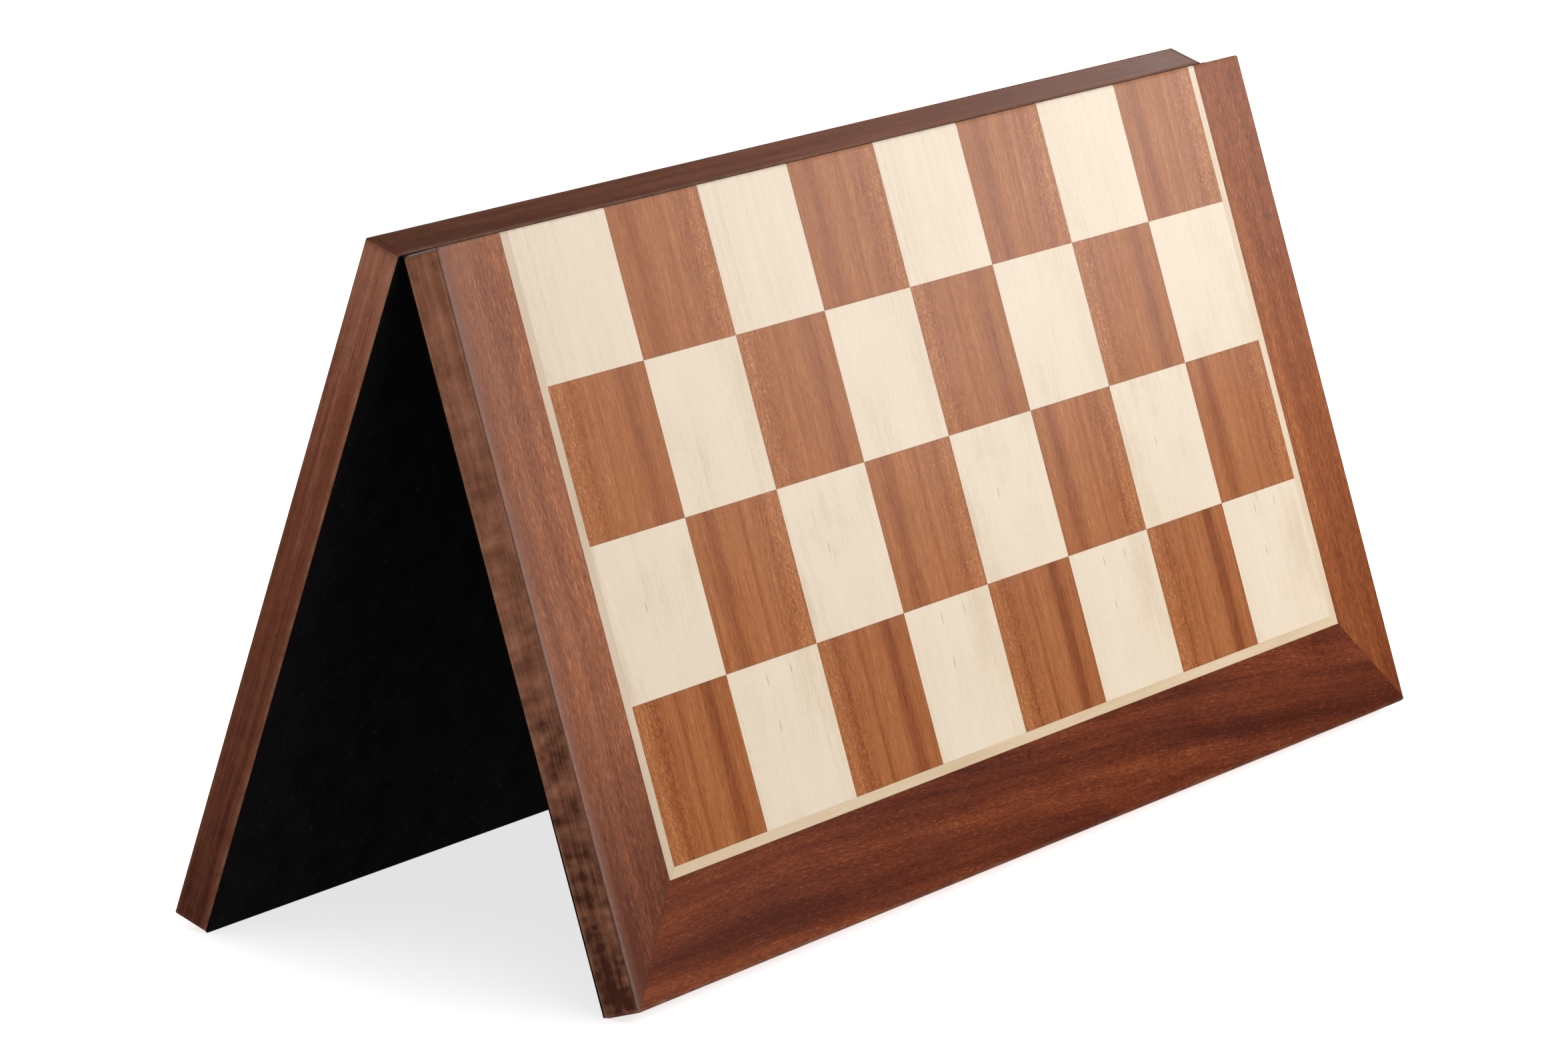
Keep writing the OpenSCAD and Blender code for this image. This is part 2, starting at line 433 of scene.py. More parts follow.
def lacquered(
    looks, tone, tones, pores, pore_depth, roughness, level=LACQUER_IOR_LEVEL, glue=0.75, painted_sheen=None
):
    """Colour, gloss and relief that all the woods share, from a tone between 0 and 1."""
    last = len(tones) - 1
    colour = looks.ramp(tone, [(i / last, t) for i, t in enumerate(tones)])
    # Painted sheen: reflected light blended into the colour, where one is given
    if painted_sheen is not None:
        colour = looks.blend(painted_sheen, colour, PAINTED_SHEEN_COLOUR)
    darkest = tuple(PORE_SHADE * c for c in tones[0])
    colour = looks.blend(looks.times(pores, pore_depth), colour, darkest)
    leaf = looks.stored("leaf")
    _, _, height = looks.axes(leaf)
    from_bed = looks.absolute(looks.plus(height, (BACK - BED) * PER_MM))
    seam = looks.span(from_bed, *SEAM_SPAN, SEAM_STRENGTH, 0.0)
    joint = looks.plus(looks.stored("joint", "Fac"), seam)
    colour = looks.blend(looks.times(joint, glue), colour, GLUE_COLOUR)
    edges = outer_edges(looks)
    patches = looks.span(looks.noise(leaf, (0.12, 0.12, 0.12), 4.0, 0.7), -0.3, 0.7, 0.15, 0.8)
    wear = looks.times(edges, patches)
    colour = looks.blend(looks.times(wear, WEAR_STRENGTH), colour, WORN_WOOD)
    waves = looks.noise(leaf, (0.05, 0.05, 0.05), 3.0, 0.6)
    gloss = looks.span(waves, -1.0, 1.0, roughness - GLOSS_VARIATION, roughness + GLOSS_VARIATION)
    gloss = looks.layered(gloss, (edges, EDGE_DULLING), (wear, WEAR_DULLING))
    relief = looks.plus(looks.times(pores, -0.5), waves)
    normal = looks.bump(relief, RELIEF_STRENGTH, RELIEF_DEPTH)
    return looks.finish(
        Base_Color=colour, Roughness=gloss, Normal=normal, IOR=LACQUER_IOR, Specular_IOR_Level=level
    )


# Needle flecks in the light veneer: row counted from the fold, place in the square, half length in squares
NEEDLE_FLECKS = (
    (3, 0.6, 0.89, 0.055),
    (3, 0.33, 0.905, 0.045),
    (3, 0.59, 0.59, 0.045),
    (2, 0.39, 0.45, 0.05),
)
FLECK_WIDTH = 0.007
OTHER_ROW_FADE = 9.0
# Where the ribbon figure of the dark veneer comes up across a square, and how much it leans
RIBBON_SPAN = (0.6, 0.84)
RIBBON_SLANT = -0.35
DARK_SQUARE_TONES = [(0.19, 0.048, 0.015), (0.31, 0.095, 0.03), (0.44, 0.158, 0.055), (0.62, 0.27, 0.115)]
LIGHT_SQUARE_TONES = [(0.68, 0.545, 0.385), (0.83, 0.695, 0.54), (0.88, 0.76, 0.615)]
PALE_GLUE = 0.04
# How light the dark veneer is across a square
DARK_SQUARE_BANDS = [
    (0.0, 0.6), (0.1, 0.7), (0.15, 0.45), (0.2, 0.08), (0.26, 0.2), (0.31, 0.6), (0.42, 0.78), (0.53, 0.66),
    (0.56, 0.4), (0.61, 0.78), (0.68, 0.6), (0.74, 0.56), (0.8, 0.3), (0.85, 0.6), (0.92, 0.82), (1.0, 0.7),
]


def slope(looks, grain, slant):
    """Grain coordinates turned a little, so that marks along the grain lean."""
    across, along, depth = looks.axes(grain)
    return looks.vector(looks.plus(across, looks.times(along, slant)), along, depth)


def fibres(looks, grain, ripple):
    """Grain coordinates that wander slowly, and ripple where ripple isn't 0, in millimetres."""
    across, along, depth = looks.axes(grain)
    wander = looks.noise(grain, (0.03, 0.008, 0.1), 1.0)
    waves = looks.noise(grain, (0.3, 0.42, 0.2), 1.0)
    shifted = looks.plus(across, looks.plus(looks.times(wander, 2.5), looks.times(waves, ripple)))
    return looks.vector(shifted, along, depth)


def dark_square():
    """Mahogany-like veneer: a dark streak at one side of each square and ribbon figure at the other.

    Its stripes are stronger and it is darker in the row by the free edge.
    """
    looks = Looks("dark_square_veneer")
    grain = looks.stored("grain")
    u, _, row = looks.axes(looks.stored("cell"))
    waver = looks.noise(grain, (0.05, 0.03, 0.4), 2.0)
    u = looks.plus(u, looks.times(waver, 0.012))
    ribbon = looks.span(u, *RIBBON_SPAN, smooth=True)
    bent = fibres(looks, grain, looks.times(ribbon, 0.16))
    bands = looks.ramp(u, DARK_SQUARE_BANDS, "EASE")
    contrast = looks.span(row, 1.6, 3.0, 0.19, 0.3)
    stripes = looks.noise(bent, (0.35, 0.006, 0.4), 2.0, 0.6)
    lines = looks.noise(bent, (1.6, 0.05, 0.5), 3.0, 0.65)
    streaks = looks.noise(bent, (2.6, 0.28, 0.8), 2.0, 0.6)
    slanted = slope(looks, bent, RIBBON_SLANT)
    dashes = looks.span(looks.noise(slanted, (1.9, 0.8, 0.5), 1.0), 0.1, 0.8)
    shadows = looks.span(looks.noise(slanted, (2.2, 0.9, 0.9), 1.0), 0.2, 0.9)
    speckle = looks.plus(looks.times(dashes, 0.24), looks.times(shadows, -0.28))
    tone = looks.layered(
        looks.span(row, 2.0, 3.0, 0.5, 0.41),
        (looks.span(bands, 0.0, 1.0, -1.0, 1.0), contrast),
        (stripes, 0.08),
        (lines, 0.19),
        (streaks, 0.16),
        (speckle, looks.plus(ribbon, 0.2)),
    )
    pores = looks.span(looks.noise(slanted, (2.6, 0.3, 1.0), 1.0), 0.5, 0.9, smooth=True)
    return lacquered(looks, tone, DARK_SQUARE_TONES, pores, pore_depth=0.3, roughness=0.19)


def fleck(looks, u, v, row, needle):
    """A thin pointed dark fleck at one place of the squares of one row."""
    fleck_row, fleck_u, fleck_v, half = needle
    du = looks.times(looks.plus(u, -fleck_u), 1 / FLECK_WIDTH)
    dv = looks.times(looks.plus(v, -fleck_v), 1 / half)
    spread = looks.plus(looks.times(du, du), looks.times(dv, dv))
    other_row = looks.plus(row, -fleck_row)
    spread = looks.layered(spread, (looks.times(other_row, other_row), OTHER_ROW_FADE))
    return looks.span(spread, 0.1, 1.0, 1.0, 0.0)


def light_square():
    """Maple veneer: faint lines and clouds, and a few needle flecks in two of the rows."""
    looks = Looks("light_square_veneer")
    grain = looks.stored("grain")
    u, v, row = looks.axes(looks.stored("cell"))
    bent = fibres(looks, grain, 0.0)
    stripes = looks.noise(bent, (0.3, 0.005, 0.3), 2.0, 0.6)
    lines = looks.noise(bent, (1.3, 0.015, 0.3), 3.0, 0.65)
    clouds = looks.noise(grain, (0.06, 0.035, 0.1), 3.0, 0.5)
    side = looks.span(u, 0.0, 0.4, -0.15, 0.0)
    speckle = looks.noise(bent, (1.3, 0.35, 0.6), 2.0, 0.7)
    cloud_share = looks.span(row, 0.0, 2.0, 0.1, 0.24)
    tone = looks.layered(0.55, (lines, 0.17), (stripes, 0.1), (speckle, 0.13), (clouds, cloud_share))
    tone = looks.plus(tone, side)
    flecks = 0.0
    for needle in NEEDLE_FLECKS:
        flecks = looks.plus(flecks, fleck(looks, u, v, row, needle))
    return lacquered(
        looks, tone, LIGHT_SQUARE_TONES, flecks, pore_depth=0.5, roughness=0.19, glue=PALE_GLUE
    )


def stringing(name, tones):
    """Pale veneer with faint lines and clouds."""
    looks = Looks(name)
    grain = looks.stored("grain")
    bent = fibres(looks, grain, 0.0)
    lines = looks.noise(bent, (0.9, 0.015, 0.3), 3.0, 0.6)
    clouds = looks.noise(grain, (0.05, 0.02, 0.1), 2.0, 0.5)
    tone = looks.plus(0.5, looks.plus(looks.times(lines, 0.2), looks.times(clouds, 0.25)))
    pores = looks.span(looks.noise(bent, (2.0, 0.2, 1.0), 1.0), 0.6, 0.95, smooth=True)
    return lacquered(looks, tone, tones, pores, pore_depth=0.1, roughness=0.2, glue=PALE_GLUE)


# Where the borders' looks change, in millimetres from the fold
# Where the painted shade starts that darkens the borders towards the free edge, by the floor
PAINTED_SHADE_START = 120.0
LIFT_SPAN = (20.0, 150.0)
# Span over which the painted sheen on a side border fades away from the fold
PAINTED_SHEEN_SPAN = (60.0, 200.0)
# The same, in millimetres from the middle of the board
LEAN_START = 60.0
# Where the painted sheen lies across a side border: a wide band, and a strip at the rim
PAINTED_SHEEN_SIDE_SPAN = (207.0, 227.0)
PAINTED_SHEEN_RIM_SPAN = (229.0, 234.5)
# Strength of the painted sheen on the left border, and at the left end of the free border
SIDE_PAINTED_SHEEN = 0.8
END_PAINTED_SHEEN = 0.11


def side_painted_sheen(looks):
    """Painted sheen on a side border: wide by the fold, and a strip along the outer edge."""
    x, out, _ = looks.axes(looks.stored("leaf"))
    beside = looks.absolute(x)
    wide = looks.times(looks.span(beside, *PAINTED_SHEEN_SIDE_SPAN), looks.span(out, *PAINTED_SHEEN_SPAN, 0.45, 0.05))
    rim = looks.span(beside, *PAINTED_SHEEN_RIM_SPAN, 0.0, 0.75, smooth=True)
    clouds = looks.noise(looks.stored("grain"), (0.05, 0.02, 0.1), 3.0)
    cloudy = looks.span(clouds, -1.0, 0.6, 0.4, 1.0)
    return looks.times(looks.times(looks.plus(wide, rim), cloudy), SIDE_PAINTED_SHEEN)


def end_painted_sheen(looks):
    """Painted sheen on the free border: faint at its left end and gone at the middle."""
    x, _, _ = looks.axes(looks.stored("leaf"))
    return looks.span(x, -END_MM, 0.0, END_PAINTED_SHEEN, 0.0)


def border(name, tones, tone, band, ripple, free_edge_painted_shade, bow=0.0, lift=0.0, lean=0.0, painted_sheen=None):
    """Border veneer: streaks that swirl in places, short light flecks, and painted shade by the free edge.

    tone is its middle tone and band the strength of its broad bands. ripple is how far the streaks swirl,
    in millimetres, and bow bends them all. fade darkens the tone towards the free edge as painted shade by
    the floor, lift lightens it away from the fold, and lean changes it towards the right end.
    """
    looks = Looks(name)
    x, out, _ = looks.axes(looks.stored("leaf"))
    from_left = looks.plus(x, END_MM)
    across, along, depth = looks.axes(looks.stored("grain"))
    across = looks.plus(across, looks.times(looks.times(from_left, from_left), -bow))
    grain = looks.vector(across, along, depth)
    patches = looks.span(looks.noise(grain, (0.045, 0.03, 0.1), 2.0), 0.1, 0.8, 0.0, 1.0, smooth=True)
    bent = fibres(looks, grain, looks.times(patches, ripple))
    bands = looks.noise(bent, (0.1, 0.004, 0.1), 3.0)
    lines = looks.noise(bent, (1.2, 0.03, 0.4), 3.0, 0.6)
    streaks = looks.noise(bent, (2.6, 0.34, 0.8), 2.0, 0.6)
    flecks = looks.span(looks.noise(bent, (2.7, 0.36, 0.5), 1.0), 0.25, 1.0)
    shadows = looks.span(looks.noise(bent, (2.2, 0.3, 0.9), 1.0), 0.3, 1.0)
    hairs = looks.span(looks.noise(bent, (2.8, 0.08, 0.5), 0.0), 0.65, 0.9)
    tone = looks.layered(
        tone,
        (bands, band),
        (patches, -0.08),
        (lines, 0.13),
        (streaks, 0.2),
        (flecks, 0.38),
        (shadows, -0.24),
        (hairs, 0.1),
    )
    # Painted shade: darker towards the free edge, which stands by the floor
    tone = looks.plus(tone, looks.span(out, PAINTED_SHADE_START, DEPTH_MM, 0.0, -free_edge_painted_shade, smooth=True))
    tone = looks.plus(tone, looks.span(out, *LIFT_SPAN, 0.0, lift))
    tone = looks.plus(tone, looks.span(x, LEAN_START, END_MM, 0.0, lean))
    pores = looks.span(looks.noise(bent, (3.0, 0.4, 1.0), 1.0), 0.5, 0.9, smooth=True)
    # Painted sheen: reflected light painted into the colour, on the borders that have it
    painted_sheen_share = painted_sheen(looks) if painted_sheen else None
    return lacquered(
        looks, tone, tones, pores, pore_depth=0.35, roughness=0.24, level=SATIN_IOR_LEVEL,
        glue=0.45, painted_sheen=painted_sheen_share,
    )


# Where the lippings' looks change, in millimetres from the fold
# Where the painted shade on an end lipping's rounding onto the fold surface fades out
FOLD_PAINTED_SHADE_SPAN = (0.3, 0.8)
# Where the painted shade starts that darkens the lippings towards the free edge, by the floor
LIPPING_PAINTED_SHADE_START = 10.0
WAVE_SPAN = (40.0, 200.0)
WAVE_STRENGTH = 0.3
# The same, in millimetres from the middle of the board
MIDDLE_SPAN = (20.0, 210.0)


def lipping(
    name, tones, tone, free_edge_painted_shade, wavy, curve=1.0, corner=0.0, lean=0.0, middle=0.0, level=END_IOR_LEVEL
):
    """Solid lipping: fine lines along it and waves across them.

    tone is the tone by the fold. It falls by fade towards the free edge, as the power curve, a painted
    shade by the floor, and by corner right at the fold, a painted shade on the fold surface. It grows by
    lean for each millimetre to the right, a painted reflection along the fold edge, and by middle at the
    middle.
    """
    looks = Looks(name)
    grain = looks.stored("grain")
    bent = fibres(looks, grain, 0.3)
    bands = looks.noise(bent, (0.4, 0.006, 0.4), 2.0)
    lines = looks.noise(bent, (1.2, 0.02, 1.2), 3.0, 0.6)
    waves = looks.noise(bent, (0.06, 0.17, 0.1), 2.0, 0.6)
    x, out, _ = looks.axes(looks.stored("leaf"))
    # Painted reflection: lighter for each millimetre to the right, brightening the fold edge towards its
    # right end
    tone = looks.plus(tone, looks.times(x, lean))
    tone = looks.plus(tone, looks.span(looks.absolute(x), *MIDDLE_SPAN, middle, 0.0))
    far = looks.span(out, LIPPING_PAINTED_SHADE_START, DEPTH_MM)
    reach = looks.add("Math", {0: far, 1: curve}, operation="POWER")
    waves = looks.times(waves, looks.span(out, *WAVE_SPAN, 0.4, 1.0))
    # Painted shade: darker towards the free edge by the floor, along the power curve
    tone = looks.layered(
        tone, (reach, -free_edge_painted_shade), (bands, 0.15), (lines, 0.13), (waves, WAVE_STRENGTH * wavy)
    )
    # Painted shade right at the fold, on the fold surface that faces up into weak light
    tone = looks.plus(tone, looks.span(out, *FOLD_PAINTED_SHADE_SPAN, -corner, 0.0))
    hairs = looks.noise(bent, (2.4, 0.12, 2.4), 2.0, 0.6)
    tone = looks.layered(tone, (hairs, 0.1))
    pores = looks.span(looks.noise(bent, (2.8, 0.3, 2.8), 1.0), 0.45, 0.9, smooth=True)
    return lacquered(looks, tone, tones, pores, pore_depth=0.22, roughness=0.34, level=level, glue=0.5)


DARK_SQUARE = dark_square()
LIGHT_SQUARE = light_square()
STRINGING_TONES = {
    "left": [(0.58, 0.445, 0.31), (0.69, 0.545, 0.405), (0.76, 0.62, 0.48)],
    "right": [(0.65, 0.505, 0.345), (0.765, 0.61, 0.44), (0.82, 0.68, 0.52)],
    "free": [(0.61, 0.445, 0.27), (0.73, 0.56, 0.375), (0.8, 0.64, 0.46)],
}
STRINGINGS = {
    edge: stringing(edge + "_stringing_veneer", tones) for edge, tones in STRINGING_TONES.items()
}
# The borders darken towards the free edge as painted shade by the floor, and the left border and the free
# border's left end carry a painted sheen
SIDE_BORDERS = {
    "left": border(
        "left_border_veneer",
        [(0.12, 0.036, 0.019), (0.225, 0.076, 0.038), (0.36, 0.13, 0.062), (0.56, 0.22, 0.1)],
        tone=0.6, band=0.2, ripple=0.32, free_edge_painted_shade=0.62, painted_sheen=side_painted_sheen,
    ),
    "right": border(
        "right_border_veneer",
        [(0.12, 0.026, 0.007), (0.22, 0.056, 0.015), (0.345, 0.1, 0.03), (0.52, 0.19, 0.065)],
        tone=0.44, band=0.2, ripple=0.32, free_edge_painted_shade=0.24, lift=0.13,
    ),
}
FREE_BORDER = border(
    "free_border_veneer",
    [(0.07, 0.013, 0.005), (0.13, 0.026, 0.009), (0.215, 0.05, 0.015), (0.34, 0.1, 0.03)],
    tone=0.53, band=0.42, ripple=0.4, free_edge_painted_shade=0.1, bow=0.00014, lean=-0.2, painted_sheen=end_painted_sheen,
)
# The end lippings darken towards the free edge and right at the fold as painted shade
END_LIPPINGS = {
    "front": lipping(
        "front_end_lipping_wood",
        [(0.07, 0.02, 0.01), (0.25, 0.097, 0.052), (0.46, 0.2, 0.12)],
        tone=0.54, free_edge_painted_shade=0.48, curve=1.8, wavy=1.3, corner=0.55,
    ),
    "rear": lipping(
        "rear_end_lipping_wood",
        [(0.075, 0.018, 0.009), (0.2, 0.059, 0.029), (0.42, 0.18, 0.107)],
        tone=0.8, free_edge_painted_shade=0.64, curve=0.6, wavy=0.25, corner=0.55,
    ),
}
EDGE_LIPPING = lipping(
    "edge_lipping_wood",
    [(0.06, 0.018, 0.01), (0.13, 0.044, 0.024), (0.26, 0.092, 0.052)],
    # lean paints a reflection that lightens the fold edge towards its right end
    tone=0.62, free_edge_painted_shade=0.0, wavy=0.4, lean=0.0006, middle=0.2, level=SATIN_IOR_LEVEL,
)


CHIP_DEPTH = 0.1 * MM
# Waves per metre in the hidden boards, along X, Y and Z: pressed fibre, and veneer with its grain along X
FIBREBOARD_WAVES = (900, 900, 900)
BACKING_WAVES = (60, 900, 900)


def plain_board(name, dark, light, scale):
    """A raw board that the other pieces hide: pressed fibre or plain veneer."""
    looks = Looks(name)
    here = looks.add("TexCoord", {}, "Object")
    chips = looks.noise(here, scale, 4.0, 0.7)
    colour = looks.ramp(looks.span(chips, -1.0, 1.0), [(0.2, dark), (0.8, light)])
    gloss = looks.span(chips, -1.0, 1.0, 0.75, 0.9)
    normal = looks.bump(chips, 0.4, CHIP_DEPTH)
    return looks.finish(Base_Color=colour, Roughness=gloss, Normal=normal)


CLOTH_TONES = [(0.2, (0.003, 0.003, 0.003)), (0.8, (0.005, 0.0048, 0.005))]
DUST_COLOUR = (0.12, 0.115, 0.11)
# The weave is a sine wave both ways, of this many radians per millimetre
WEAVE = 9.0
WEAVE_DEPTH = 0.05 * MM


def black_cloth():
    """Dull black cloth with a fine weave and a few specks of dust."""
    looks = Looks("lining_cloth")
    leaf = looks.stored("leaf")
    x, y, _ = looks.axes(leaf)
    threads_along = looks.add("Math", {0: looks.times(x, WEAVE)}, operation="SINE")
    threads_across = looks.add("Math", {0: looks.times(y, WEAVE)}, operation="SINE")
    weave = looks.times(threads_along, threads_across)
    mottle = looks.noise(leaf, (0.08, 0.08, 0.08), 4.0, 0.6)
    colour = looks.ramp(looks.span(mottle, -1.0, 1.0), CLOTH_TONES)
    dust = looks.noise(leaf, (0.5, 0.5, 0.5), 0.0)
    colour = looks.blend(looks.span(dust, 1.02, 1.1, 0.0, 0.06), colour, DUST_COLOUR)
    gloss = looks.span(mottle, -1.0, 1.0, 0.85, 0.95)
    normal = looks.bump(weave, 0.3, WEAVE_DEPTH)
    return looks.finish(Base_Color=colour, Roughness=gloss, Normal=normal, Specular_IOR_Level=0.1)


# ---------------------------------------------------------------- the pieces of each leaf

def build_squares(leaf, rank, tone):
    """The four squares of one tone in a rank. They are slices of one strip, so their figure repeats."""
    row = LEAF_RANKS - rank if leaf == "front" else rank - LEAF_RANKS - 1
    first = (rank + (1 if tone == "dark" else 0)) % 2
    far_side = FIELD_DEPTH - (LEAF_RANKS - 1 - row) * SQUARE
    near_side = far_side - SQUARE
    flipped = row % 2 == 1
    lefts = [file * SQUARE - FIELD_HALF for file in range(first, FILES, 2)]
    cut_side = near_side if row else None
    solids = [carve(rectangle(left, left + SQUARE, cut_side, far_side), BED, FACE) for left in lefts]
    draw = random.Random(f"{leaf} {row} {tone}")
    strip = [draw.uniform(-SQUARE_STOCK, SQUARE_STOCK) for _ in range(3)]

    def cells(point, number):
        u = (point.x - lefts[number]) / SQUARE
        v = (point.y - near_side) / SQUARE
        return (1 - u, 1 - v, row) if flipped else (u, v, row)

    def grain(point, number):
        u, v, _ = cells(point, number)
        across = u * SQUARE * PER_MM
        along = v * SQUARE * PER_MM
        depth = (point.z - FACE) * PER_MM + SLICE_DEPTH * number
        return (across + strip[0], along + strip[1] + SLICE_SLIP * number, depth + strip[2])

    material = DARK_SQUARE if tone == "dark" else LIGHT_SQUARE
    place(f"rank_{rank}_{tone}_squares", leaf, solids, f"{tone}_square", material, grain, cells)


def strip_beside(side, inner, outer):
    """Planes of a strip that runs down one side of the leaf."""
    if side < 0:
        return rectangle(None if outer is None else -outer, -inner, None, None)
    return rectangle(inner, outer, None, None)


def build_leaf(leaf):
    """All the visible wooden pieces of one leaf."""
    def build(part, planes, bottom, top, slot, material, turned):
        name = f"{leaf}_{part}"
        place(name, leaf, [carve(planes, bottom, top)], slot, material, stock(name, turned))

    fold_strip = rectangle(-INNER_HALF, INNER_HALF, None, FOLD_LIPPING)
    free_strip = rectangle(-INNER_HALF, INNER_HALF, FREE_LIPPING, None)
    build("fold_lipping", fold_strip, BACK, BED, "edge_lipping", EDGE_LIPPING, True)
    build("free_lipping", free_strip, BACK, BED, "edge_lipping", EDGE_LIPPING, True)
    border_planes = rectangle(None, None, STRINGING_DEPTH, None)
    border_planes += [mitre(side, BORDER_MITRE, "free") for side in (-1, 1)]
    build("free_border", border_planes, BED, FACE, "border_veneer", FREE_BORDER, True)
    string_planes = rectangle(None, None, FIELD_DEPTH, STRINGING_DEPTH)
    string_planes += [mitre(side, STRINGING_MITRE, "free") for side in (-1, 1)]
    build("free_stringing", string_planes, BED, FACE, "stringing", STRINGINGS["free"], True)
    for side_name, side in zip(SIDES, (-1, 1)):
        planes = strip_beside(side, INNER_HALF, None)
        build(f"{side_name}_lipping", planes, BACK, BED, "edge_lipping", END_LIPPINGS[leaf], False)
        planes = strip_beside(side, STRINGING_HALF, None) + [mitre(side, BORDER_MITRE, "side")]
        build(f"{side_name}_border", planes, BED, FACE, "border_veneer", SIDE_BORDERS[side_name], False)
        planes = strip_beside(side, FIELD_HALF, STRINGING_HALF) + [mitre(side, STRINGING_MITRE, "side")]
        build(f"{side_name}_stringing", planes, BED, FACE, "stringing", STRINGINGS[side_name], False)
    first_rank = 1 if leaf == "front" else 1 + LEAF_RANKS
    for rank in range(first_rank, first_rank + LEAF_RANKS):
        for tone in TONES:
            build_squares(leaf, rank, tone)


for leaf in LEAVES:
    build_leaf(leaf)
LEAF_BODY.free()

CORE = plain_board("core_fibreboard", (0.21, 0.11, 0.045), (0.4, 0.23, 0.1), FIBREBOARD_WAVES)
BACKING = plain_board("backing_veneer", (0.23, 0.12, 0.05), (0.43, 0.25, 0.115), BACKING_WAVES)
for leaf in LEAVES:
    for part, material in (("core", CORE), ("backing_veneer", BACKING)):
        mesh = NODES[f"{leaf}_{part}"].data
        mesh.materials.clear()
        mesh.materials.append(material)


# ---------------------------------------------------------------- lining

LINING_HALF = LINING_HIGH.x
LINING_END = LINING_HIGH.y
LINING_INNER = LINING_LOW.z
LINING_OUTER = LINING_HIGH.z
LINING_COLUMNS = 48
LINING_ROWS = 24
BEND_STEPS = 12
# Distance of the cloth's two surfaces from the fold axis: where it leaves the wood, and in the crease
EDGE_INNER = 0.1 * MM
EDGE_OUTER = 0.45 * MM
CREASE_INNER = 0.03 * MM
CREASE_OUTER = 0.25 * MM


def lining_section():
    """Pairs of inner and outer points of the cloth's section, from the front free edge to the rear one.

    Past the wood the cloth is pinched, so that it lies low between the fold edges.
    """
    pairs = []
    flat_end = FOLD_EDGE + BACK_RADIUS
    steps = [LINING_END - (LINING_END - flat_end) * i / LINING_ROWS for i in range(LINING_ROWS + 1)]
    flat_side = [(y, LINING_INNER, LINING_OUTER) for y in steps] + [(0.0, EDGE_INNER, EDGE_OUTER)]
    for y, inner, outer in flat_side:
        pairs.append([AXES["front"] @ Vector((0, y, z)) for z in (inner, outer)])
    reach = RIGHT_ANGLE - HALF_ANGLE
    for step in range(1, BEND_STEPS):
        turn = 2 * step / BEND_STEPS - 1
        outward = Vector((0, math.sin(reach * turn), math.cos(reach * turn)))
        inner = CREASE_INNER + (EDGE_INNER - CREASE_INNER) * turn**2
        outer = CREASE_OUTER + (EDGE_OUTER - CREASE_OUTER) * turn**2
        pairs.append([Vector(FOLD["pos_m"]) + radius * outward for radius in (inner, outer)])
    for y, inner, outer in reversed(flat_side):
        pairs.append([AXES["rear"] @ Vector((0, y, z)) for z in (inner, outer)])
    return pairs


def build_lining():
    """One length of cloth that covers both undersides and bends over the fold."""
    section = lining_section()
    loop = [pair[0] for pair in section] + [pair[1] for pair in reversed(section)]
    distance = [0.0]
    for before, after in zip(section, section[1:]):
        distance.append(distance[-1] + (after[1] - before[1]).length)
    loop_distance = distance + distance[::-1]
    bm = bmesh.new()
    rings, places = [], []
    for column in range(LINING_COLUMNS + 1):
        x = LINING_HALF * (2 * column / LINING_COLUMNS - 1)
        rings.append([bm.verts.new((x, p.y, p.z)) for p in loop])
        places += [(x * PER_MM, d * PER_MM, 0) for d in loop_distance]
    for ring, following in zip(rings, rings[1:]):
        for i in range(len(loop)):
            j = (i + 1) % len(loop)
            bm.faces.new((ring[i], ring[j], following[j], following[i]))
    half = len(section)
    for ring in (rings[0], rings[-1]):
        for i in range(half - 1):
            bm.faces.new((ring[i], ring[i + 1], ring[-2 - i], ring[-1 - i]))
    bmesh.ops.recalc_face_normals(bm, faces=bm.faces[:])
    mesh = bpy.data.meshes.new("lining")
    bm.to_mesh(mesh)
    bm.free()
    add_vectors(mesh, "leaf", places)
    mesh.shade_smooth()
    mesh.set_sharp_from_angle(angle=SMOOTH_ANGLE)
    mesh.materials.append(black_cloth())
    lining = bpy.data.objects.new("lining_cloth", mesh)
    bpy.context.scene.collection.objects.link(lining)
    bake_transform(lining)
    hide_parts("front_lining", "rear_lining", "lining_fold")


build_lining()


# ---------------------------------------------------------------- stage, light and camera

scene = bpy.context.scene
scene.view_settings.view_transform = "Standard"
LOW, HIGH = CAD_BOX
CENTRE = (LOW + HIGH) / 2

FLOOR_REACH = 12.0
FLOOR_SQUARES = 8
FLOOR_TONES = [(0.2, (0.86, 0.86, 0.86)), (0.8, (0.9, 0.9, 0.9))]
FLOOR_GLOW = 0.75
WORLD_STRENGTH = 0.06


def build_floor():
    """White paper that glows a little, so that it stays white round the board's faint shadow."""
    bm = bmesh.new()
    bmesh.ops.create_grid(bm, x_segments=FLOOR_SQUARES, y_segments=FLOOR_SQUARES, size=FLOOR_REACH)
    mesh = bpy.data.meshes.new("floor")
    bm.to_mesh(mesh)
    bm.free()
    looks = Looks("floor_paper")
    here = looks.add("TexCoord", {}, "Object")
    paper = looks.span(looks.noise(here, (300, 300, 300), 3.0), -1.0, 1.0)
    colour = looks.ramp(paper, FLOOR_TONES)
    mesh.materials.append(looks.finish(
        Base_Color=colour, Roughness=0.95, Specular_IOR_Level=0.0,
        Emission_Color=(1, 1, 1, 1), Emission_Strength=FLOOR_GLOW,
    ))
    floor = bpy.data.objects.new("floor", mesh)
    floor.visible_glossy = False
    scene.collection.objects.link(floor)


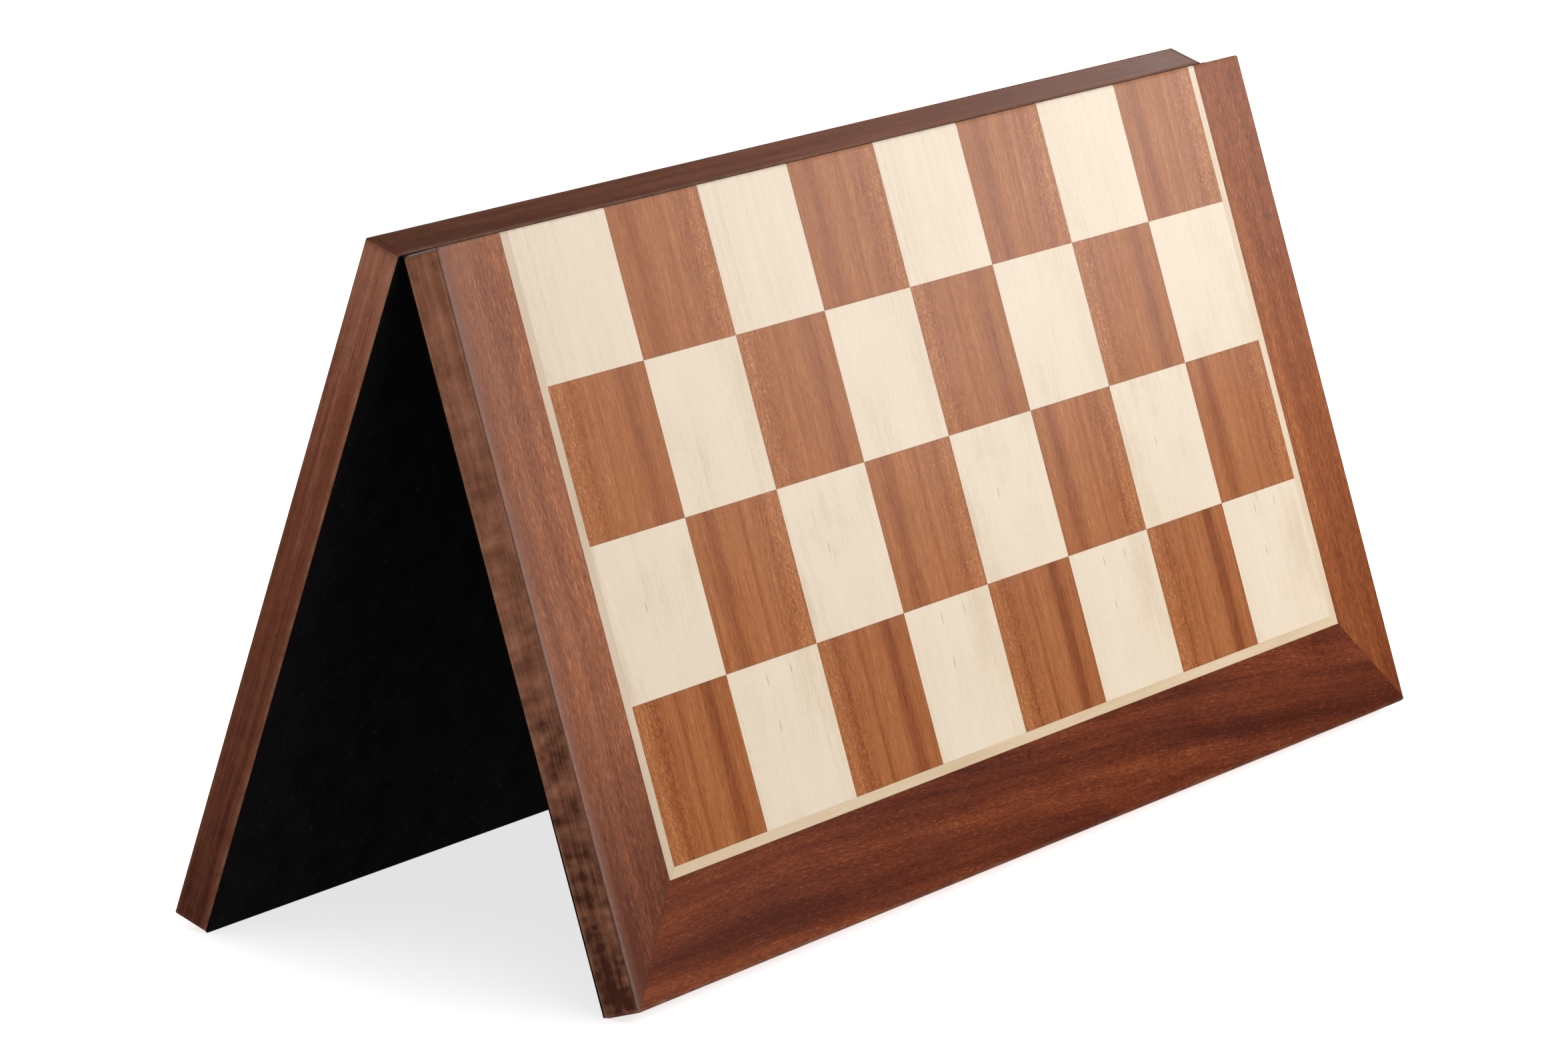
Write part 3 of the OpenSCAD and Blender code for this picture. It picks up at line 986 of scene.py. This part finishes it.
def softbox(name, place, target, width, height, radiance):
    """A rectangular soft light of a given brightness, turned towards target."""
    data = bpy.data.lights.new(name, "AREA")
    data.shape = "RECTANGLE"
    data.size = width
    data.size_y = height
    data.energy = radiance * math.pi * width * height
    light = bpy.data.objects.new(name, data)
    light.location = place
    light.rotation_mode = "QUATERNION"
    light.rotation_quaternion = (Vector(target) - Vector(place)).to_track_quat("-Z", "Y")
    light.visible_camera = False
    scene.collection.objects.link(light)
    return light


def sky_light(name, direction, spread, strength):
    """Light from far away, spread over a wide angle like a large overhead diffuser."""
    data = bpy.data.lights.new(name, "SUN")
    data.energy = strength * math.pi
    data.angle = math.radians(spread)
    light = bpy.data.objects.new(name, data)
    light.rotation_mode = "QUATERNION"
    light.rotation_quaternion = (-Vector(direction)).to_track_quat("-Z", "Y")
    scene.collection.objects.link(light)


build_floor()
sky_light("overhead_diffuser", direction=(0.15, -0.12, 1), spread=70, strength=0.39)
softbox(
    "right_wall", place=(2.5, -0.48, 1.08), target=(2.0, -0.48, 1.08), width=2.75, height=1.1, radiance=2.6
)
key = softbox(
    "front_key", place=(1.2, -1.4, 0.95), target=(0, 0, 0.12), width=0.8, height=0.6, radiance=9.6
)
key.visible_glossy = False
softbox("back_fill", place=(0.7, 2.2, 1.2), target=(0, 0, 0.1), width=1.6, height=1.0, radiance=4.2)
glint = softbox(
    "front_panel", place=(-0.25, -1.9, 0.72), target=(0, 0, 0.12), width=1.5, height=0.6, radiance=12.0
)
glint.visible_diffuse = False

world = bpy.data.worlds.new("studio")
world.use_nodes = True
background = world.node_tree.nodes["Background"]
background.inputs["Color"].default_value = (1, 1, 1, 1)
background.inputs["Strength"].default_value = WORLD_STRENGTH
world.cycles_visibility.glossy = False
scene.world = world

CAMERA_AZIMUTH = math.radians(-56.06)
CAMERA_ELEVATION = math.radians(12.915)
CAMERA_ROLL = math.radians(0.741)
CAMERA_DISTANCE = 2.2235
CAMERA_AIM = CENTRE + Vector((-0.01155, 0.01137, -0.01415))
CAMERA_LENS = 154.79
CAMERA_SENSOR = 36.0

camera_data = bpy.data.cameras.new("camera")
camera_data.sensor_width = CAMERA_SENSOR
camera_data.lens = CAMERA_LENS
camera = bpy.data.objects.new("camera", camera_data)
scene.collection.objects.link(camera)
scene.camera = camera
back = Vector((
    math.sin(CAMERA_AZIMUTH) * math.cos(CAMERA_ELEVATION),
    -math.cos(CAMERA_AZIMUTH) * math.cos(CAMERA_ELEVATION),
    math.sin(CAMERA_ELEVATION),
))
camera.location = CAMERA_AIM + CAMERA_DISTANCE * back
camera.rotation_mode = "QUATERNION"
camera.rotation_quaternion = (-back).to_track_quat("-Z", "Y") @ Quaternion((0, 0, 1), CAMERA_ROLL)
